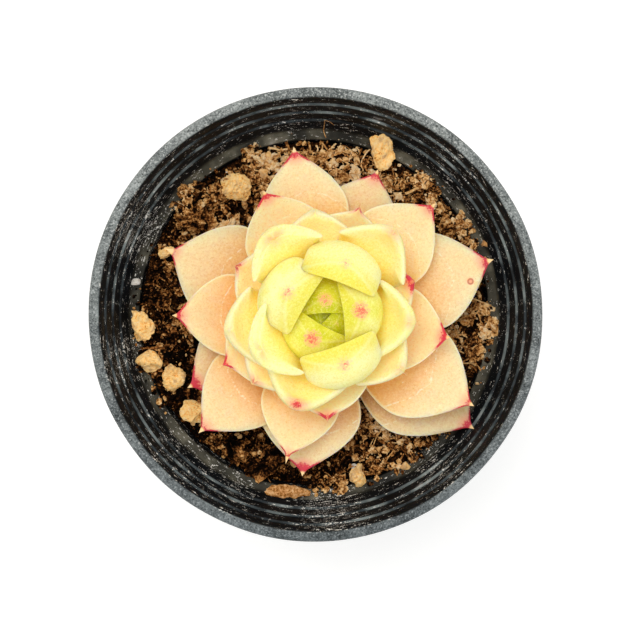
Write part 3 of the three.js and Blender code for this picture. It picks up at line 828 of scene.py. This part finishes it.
def leafForm(number):
    sway, reach, width, *bulge = leaves["rows"][number]
    age = number / last
    opening = 0 if bulge else (number - hoods) / (last - hoods)
    fold = 1 - ease(0.05, 0.55, opening)  # how boat-shaped the end is
    flesh = 1 - ease(0.15, 0.8, opening)  # how full the front is, low down
    base = (mix(*leaves["baseRadii"], age), mix(*leaves["baseHeights"], age))
    leave = math.radians(mix(46, 4, age ** 0.8) + (0 if bulge else 20 * flesh))
    if bulge:
        end = (reach, mix(*leaves["hoodEnds"], math.sin(number / (hoods - 1) * math.pi / 2)))
        arrive = math.radians(165)
        far = (bulge[0] - (base[0] + end[0]) / 2) * 8 / 3
        far /= 0.8 * math.cos(leave) - math.cos(arrive)
        near = far * 0.8
        rootCurl = endCurl = bulge[0] * 0.95
    else:
        tuck = leaves["tucked"].get(number, 0)
        end = (reach, mix(*leaves["openEnds"], opening ** 1.1))
        arrive = math.radians(mix(12 + 104 * (1 - opening) ** 1.6, 158, tuck))
        chord = math.hypot(end[0] - base[0], end[1] - base[1])
        near, far = chord * 0.42, chord * mix(0.4, 0.13, tuck)
        rootCurl = mix(13, 34, opening)
        endCurl = mix(rootCurl, 4.7, fold)
    return {
        "key": number, "hooded": bool(bulge), "age": age, "opening": opening, "fold": fold,
        "flesh": flesh, "halfWidth": width / 2, "pinch": leaves["pinched"].get(number, 0.08),
        "spike": leaves["spikes"].get(number, 0), "rootCurl": rootCurl, "endCurl": endCurl,
        "azimuth": math.radians(leaves["firstAzimuth"] + leaves["turn"] * number + sway),
        "thickness": leaves["thickness"] * mix(0.6, 1, min(1, number / hoods)),
        "spine": [base, (base[0] + math.cos(leave) * near, base[1] + math.sin(leave) * near),
                  (end[0] - math.cos(arrive) * far, end[1] - math.sin(arrive) * far), end],
    }


def spineAt(spine, s):  # place and direction on the leaf's own curve
    a, b, c, d = spine
    r = 1 - s
    place = [r ** 3 * a[k] + 3 * r * r * s * b[k] + 3 * r * s * s * c[k] + s ** 3 * d[k]
             for k in (0, 1)]
    slope = [r * r * (b[k] - a[k]) + 2 * r * s * (c[k] - b[k]) + s * s * (d[k] - c[k])
             for k in (0, 1)]
    size = math.hypot(*slope)
    return place[0], place[1], slope[0] / size, slope[1] / size


def outlineAt(form, s):  # half the width at s, as a share of the widest
    widest = 0.88 if form["hooded"] else mix(0.61, 0.76, form["fold"])
    if s < widest:
        return mix(0.26, 1, math.sin(s / widest * math.pi / 2) ** mix(1.3, 1, form["fold"]))
    x = (s - widest) / (1 - widest)
    if form["hooded"]:
        return (1 - x ** 14) ** 0.14
    rounded = (1 - x ** 1.95) ** 0.95 * (1 - form["pinch"] * ease(0.55, 1, x))
    return mix(rounded, 1 - x ** 1.45, form["fold"])


def leafSpot(form, s, u, face):  # s from root to end, u across, face from back to front
    out, up, dirOut, dirUp = spineAt(form["spine"], s)
    across = u * form["halfWidth"] * outlineAt(form, s)
    swell = 0.5 + 0.5 * math.sin(min(1, s * 1.3) * math.radians(120))
    depth = face * form["thickness"] * swell
    if form["hooded"]:
        middle, rise, bow = leaves["foldLine"]
        beyondFold = ease(middle + rise * abs(u) ** bow, 1.02, s)
        depth *= (1 - 0.68 * s ** 5) * (0.36 if face > 0 else 0.64 * (1 - 0.55 * beyondFold))
    else:
        young = 1 - ease(0.1, 0.6, form["opening"])  # upright leaves are fuller at the end
        depth *= 1 - mix(0.68, 0.3, young) * s ** 5
        if face > 0:  # fleshy below, flat towards the end
            depth *= mix(mix(0.36, 1.2, form["flesh"]), mix(0.26, 0.5, young), ease(0.4, 0.85, s))
        else:
            depth *= 0.66
        depth *= min(1, math.sqrt(max(0, 1 - s) / 0.02))
        mucro = mix(*leaves["mucros"], ease(0.15, 0.4, form["opening"]))
        mucro += max(0, form["pinch"] - 0.3) * 0.8 + form["spike"]
        push = mucro * (max(0, s - 0.98) / 0.02) ** 2
        out, up = out + dirOut * push, up + dirUp * push + 0.25 * push
    slope = across / mix(form["rootCurl"], form["endCurl"], ease(0.35, 0.75, s))
    lean = math.hypot(1, slope)
    lift = across * slope / 2 + depth / lean
    lift += 0.2 * noise.noise(Vector((across / 6, s * 4, form["key"] * 3.7)))
    sideways = across - slope * depth / lean
    radial = out - dirUp * lift
    cos, sin = math.cos(form["azimuth"]), math.sin(form["azimuth"])
    return Vector((stem["axisX"] + radial * cos - sideways * sin,
                   radial * sin + sideways * cos, up + dirOut * lift))


def makeLeaf(number, material):
    form = leafForm(number)
    bm = bmesh.new()
    bmesh.ops.create_uvsphere(bm, u_segments=leaves["around"], v_segments=leaves["along"], radius=1)
    layers = [bm.verts.layers.float.new(mark) for mark in leafMarks]
    point = leafSpot(form, 0.9, 0, -1) if form["hooded"] else leafSpot(form, 1, 0, 0)
    blush, ruddy = leaves["blush"][number], leaves["ruddy"].get(number, 0)
    lit = leaves["lit"].get(number, mix(0.08, 0.04, form["opening"]))
    dryMm = leaves["dryMm"].get(number, 1)
    for vert in bm.verts:
        s = (1 - vert.co.z) / 2
        girth = math.hypot(vert.co.x, vert.co.y)
        u, face = (vert.co.x / girth, vert.co.y / girth) if girth > 1e-5 else (0, 0)
        spot = leafSpot(form, s, u, face)
        marks = (s, u, face, form["age"], blush, (spot - point).length, float(form["hooded"]),
                 lit, ruddy, dryMm)
        for layer, value in zip(layers, marks):
            vert[layer] = value
        vert.co = spot * mm
    bmesh.ops.recalc_face_normals(bm, faces=bm.faces[:])
    name = f"leaf_{number + 1:02d}"
    finishPiece(name + "_blade", bm, material, [name])


def makeLeafFlesh():
    material, add = startMaterial("waxyLeafFlesh")
    here = add("TexCoord").outputs["Object"]
    along, across, face, age, blush, tipMm, hood, lit, ruddy, dryMm = [
        add("Attribute", attribute_name=mark).outputs["Fac"] for mark in leafMarks]
    unhooded = add("Math", 1.0, hood, operation="SUBTRACT")
    inner = add("MapRange", face, -0.1, 0.3, **eased)
    edge = add("Math", across, operation="ABSOLUTE")
    cloud = add("TexNoise", here, Scale=perMm(5), Detail=3.0)
    scrape = add("TexNoise", here, Scale=perMm(0.9), Detail=5.0, Roughness=0.8, Distortion=1.2)
    mottle = add("TexNoise", here, Scale=perMm(0.7), Detail=4.0, Roughness=0.65)
    speckle = add("TexNoise", here, Scale=perMm(0.45), Detail=3.0, Roughness=0.8)
    fine = add("TexNoise", here, Scale=perMm(0.28), Detail=2.0)
    # flesh colour by age, deeper towards the root: partly the flesh's own colour, partly painted
    # shade under the leaves above
    tone = add("Math", cloud, 0.14, -0.07, **timesPlus)
    tone = add("Math", age, tone, operation="ADD")
    body = add("ValToRGB", tone, stops=[
        (0.0, "#b6c004"), (0.06, "#c4c80c"), (0.1, "#d8d63a"), (0.135, "#e8e470"),
        (0.17, "#f6f4b0"), (0.2, "#f6eea2"), (0.27, "#fcf098"), (0.33, "#fce890"),
        (0.42, "#fce29c"), (0.55, "#fbdfa6"), (0.75, "#f8d9a8"), (1.0, "#eec694")])
    root = add("ValToRGB", tone, stops=[
        (0.05, "#aeb004"), (0.12, "#dad016"), (0.2, "#f8da26"), (0.29, "#ffd82a"),
        (0.37, "#ffd43a"), (0.46, "#ffd04a"), (0.56, "#ffcc58"), (0.66, "#fcc462"),
        (0.8, "#f6b762"), (1.0, "#d8a05e")])
    toRoot = add("MapRange", along, 0.82, 0.4, **eased)
    front = add("Math", inner, 0.7, 0.3, **timesPlus)
    toRoot = add("Math", toRoot, front, **times)
    # and, on a hooded leaf, between its fold and its edge, where it faces down into the heart:
    # painted shade
    toHeart = add("MapRange", along, 0.85, 0.99, 0, 0.75, **eased)
    toHeart = add("Math", toHeart, hood, **times)
    rootTintAndShade = add("Math", toRoot, toHeart, operation="MAXIMUM")
    colour = add("MixRGB", rootTintAndShade, body, root)
    # bloom, thicker on old leaves and towards the margins
    margins = add("MapRange", edge, 0.3, 1.0, 0.35, 1, **eased)
    film = add("Math", margins, add("MapRange", mottle, 0.35, 0.68), operation="ADD")
    older = add("MapRange", age, 0.14, 0.5, 0.13, 0.36)
    higher = add("MapRange", along, 0.35, 0.8, 0.15, 1)
    for share in (older, higher, unhooded):
        film = add("Math", film, share, **times)
    # grainy flesh, with pale flecks and scratches on the older leaves
    grains = add("MapRange", fine, 0.62, 0.7, 0, 0.4)
    light = add("MapRange", speckle, 0.5, 0.64, 0, 0.28, **eased)
    dark = add("MapRange", speckle, 0.5, 0.35, 0, 0.3, **eased)
    fleck = add("MapRange", scrape, 0.63, 0.68, 0, 0.7, **eased)
    fleck = add("Math", fleck, add("MapRange", age, 0.2, 0.6, 0.1, 1), **times)
    # painted shade: a golden tint where it is deep; and orange on some leaves
    goldenShade = add("ValToRGB", age, stops=[
        (0.0, "#bcbcbc"), (0.1, "#404040"), (0.22, "#303030"), (0.3, "#a8a8a8"),
        (0.4, "#c4c4c4"), (0.6, "#a0a0a0"), (1.0, "#606060")])
    goldenShade = add("Math", goldenShade, add("Math", rootTintAndShade, 1.6, operation="POWER"), **times)
    warm = add("Math", add("MapRange", along, 1.0, 0.6), ruddy, **times)
    # pale, broken print of the leaf that lay over it
    bend = add("Math", add("Math", edge, 2.0, operation="POWER"), 0.16, along, **timesPlus)
    bend = add("Math", cloud, 0.09, bend, **timesPlus)
    turns = add("Math", add("Math", age, 97.0, **times), operation="SINE")
    turns = add("Math", turns, 0.06, 0.76, **timesPlus)
    offPrint = add("Math", add("Math", turns, bend, operation="SUBTRACT"), operation="ABSOLUTE")
    trace = add("MapRange", offPrint, 0.009, 0.002, **eased)
    for share in (add("MapRange", mottle, 0.45, 0.6), add("MapRange", age, 0.5, 0.75, 0, 0.6)):
        trace = add("Math", trace, share, **times)
    # pale, thin margin: partly the margin's own paler colour, partly a painted highlight
    rim = add("MapRange", edge, 0.94, 1.0, **eased)
    rim = add("Math", rim, add("MapRange", age, 0.3, 0.6, 0.2, 0.7), **times)
    # the fold line of a hooded leaf runs from its point to its corners; it is painted paler, a
    # painted highlight along its ridge
    middle, rise, bow = leaves["foldLine"]
    foldLine = add("Math", add("Math", edge, bow, operation="POWER"), rise, middle, **timesPlus)
    offFold = add("Math", add("Math", along, foldLine, operation="SUBTRACT"), operation="ABSOLUTE")
    fold = add("MapRange", offFold, 0.02, 0.0, **eased)
    fold = add("Math", fold, hood, **times)
    foldHighlight = add("MapRange", age, 0.06, 0.14, 0.08, 0.24)
    foldHighlight = add("Math", fold, foldHighlight, **times)
    # red of the point, and down the margins on open leaves
    red = add("MixRGB", hood, add("MapRange", tipMm, 5.0, 0.5), add("MapRange", tipMm, 2.6, 0.2))
    margin = add("MapRange", edge, 0.64, 1.0, 0, 0.6, **eased)
    nearTip = add("Math", add("MapRange", tipMm, 14.0, 3.0),
                  add("MapRange", age, 0.35, 0.75, 0.1, 1), **times)
    for share in (add("MapRange", along, 0.6, 0.97), nearTip, unhooded):
        margin = add("Math", margin, share, **times)
    red = add("Math", red, margin, operation="ADD")
    ragged = add("Math", add("Math", speckle, 0.5, operation="SUBTRACT"),
                 add("Math", hood, 3.2, 1.2, **timesPlus), 1.0, **timesPlus)
    for share in (ragged, blush):
        red = add("Math", red, share, **times)
    pink = add("MapRange", red, 0.1, 0.52, 0, 0.72, **eased)
    crimson = add("MapRange", red, 0.42, 0.64, 0, 0.95, **eased)
    blood = add("MixRGB", hood, "#d02545", "#ec7458")
    # one healed scar
    scarPlace = tuple(c * mm for c in leaves["scar"])
    fromScar = add("VectorMath", here, scarPlace, operation="DISTANCE").outputs["Value"]
    scar = add("ValToRGB", add("MapRange", fromScar, 0, 1 * mm), stops=[
        (0.0, "#f8c8a0"), (0.25, "#f0a884"), (0.5, "#b8603c"), (0.68, "#e89878"),
        (0.85, "#ffe8c8")])
    healed = add("MapRange", fromScar, 0.95 * mm, 0.6 * mm, 0, 0.85, **eased)
    # the dry, horny end of the point
    dry = add("MapRange", add("Math", dryMm, tipMm, operation="SUBTRACT"), -0.3, 0.2, **eased)
    dry = add("Math", dry, add("MapRange", age, 0.45, 0.65), **times)
    # all of it, laid one over another
    for share, tint, blend in (
            (film, "#fff3cc", "MIX"), (grains, "#dcc470", "MULTIPLY"), (light, "#fff4c4", "MIX"),
            (dark, "#ecd68c", "MULTIPLY"), (goldenShade, "#fff878", "MULTIPLY"),
            (warm, "#f8b060", "MULTIPLY"), (fleck, "#fffbe6", "MIX"), (trace, "#fffbe8", "MIX"),
            (rim, "#ffe8c4", "MIX"), (foldHighlight, "#fff8c8", "MIX"), (pink, "#f6a68e", "MIX"),
            (crimson, blood, "MIX"), (healed, scar, "MIX"), (dry, "#fcd8a0", "MIX")):
        colour = add("MixRGB", share, colour, tint, blend_type=blend)
    # light goes deeper into young leaves, and not into the dry ends
    reach = add("MapRange", age, 0.3, 0.75, 3.4 * mm, 1.9 * mm)
    reach = add("Math", reach, add("Math", 1.0, dry, operation="SUBTRACT"), **times)
    # painted light: the flesh glows a little, most on the cupped front, along the pale margin and
    # over the hooded heart leaves, in place of the light that the thin, wet flesh passes on from
    # leaf to leaf
    cuppedGlow = add("MapRange", edge, 0.98, 0.55, **eased)
    for share in (inner, lit):
        cuppedGlow = add("Math", cuppedGlow, share, **times)
    cuppedGlow = add("Math", rim, 0.14, cuppedGlow, **timesPlus)
    paintedGlow = add("MixRGB", hood, cuppedGlow, add("MapRange", age, 0.08, 0.14, 0.17, 0.06))
    glowColour = add("MixRGB", 0.3, colour, "#fff060", blend_type="MULTIPLY")
    rough = add("MapRange", mottle, To_Min=0.38, To_Max=0.6)
    relief = add("Math", fold, 0.35, add("Math", fine, 0.25, **times), **timesPlus)
    bump = add("Bump", Height=relief, Strength=0.6, Distance=0.15 * mm)
    add("OutputMaterial", add(
        "BsdfPrincipled", Base_Color=colour, Roughness=rough, Normal=bump, IOR=1.42,
        Specular_IOR_Level=0.28, Coat_Weight=0.04, Coat_Roughness=0.35, Subsurface_Weight=0.9,
        Subsurface_Radius=(1.0, 0.8, 0.2), Subsurface_Scale=reach,
        Emission_Color=glowColour, Emission_Strength=paintedGlow))
    return material


flesh = makeLeafFlesh()
for number in range(last + 1):
    makeLeaf(number, flesh)
print("leaves ready")
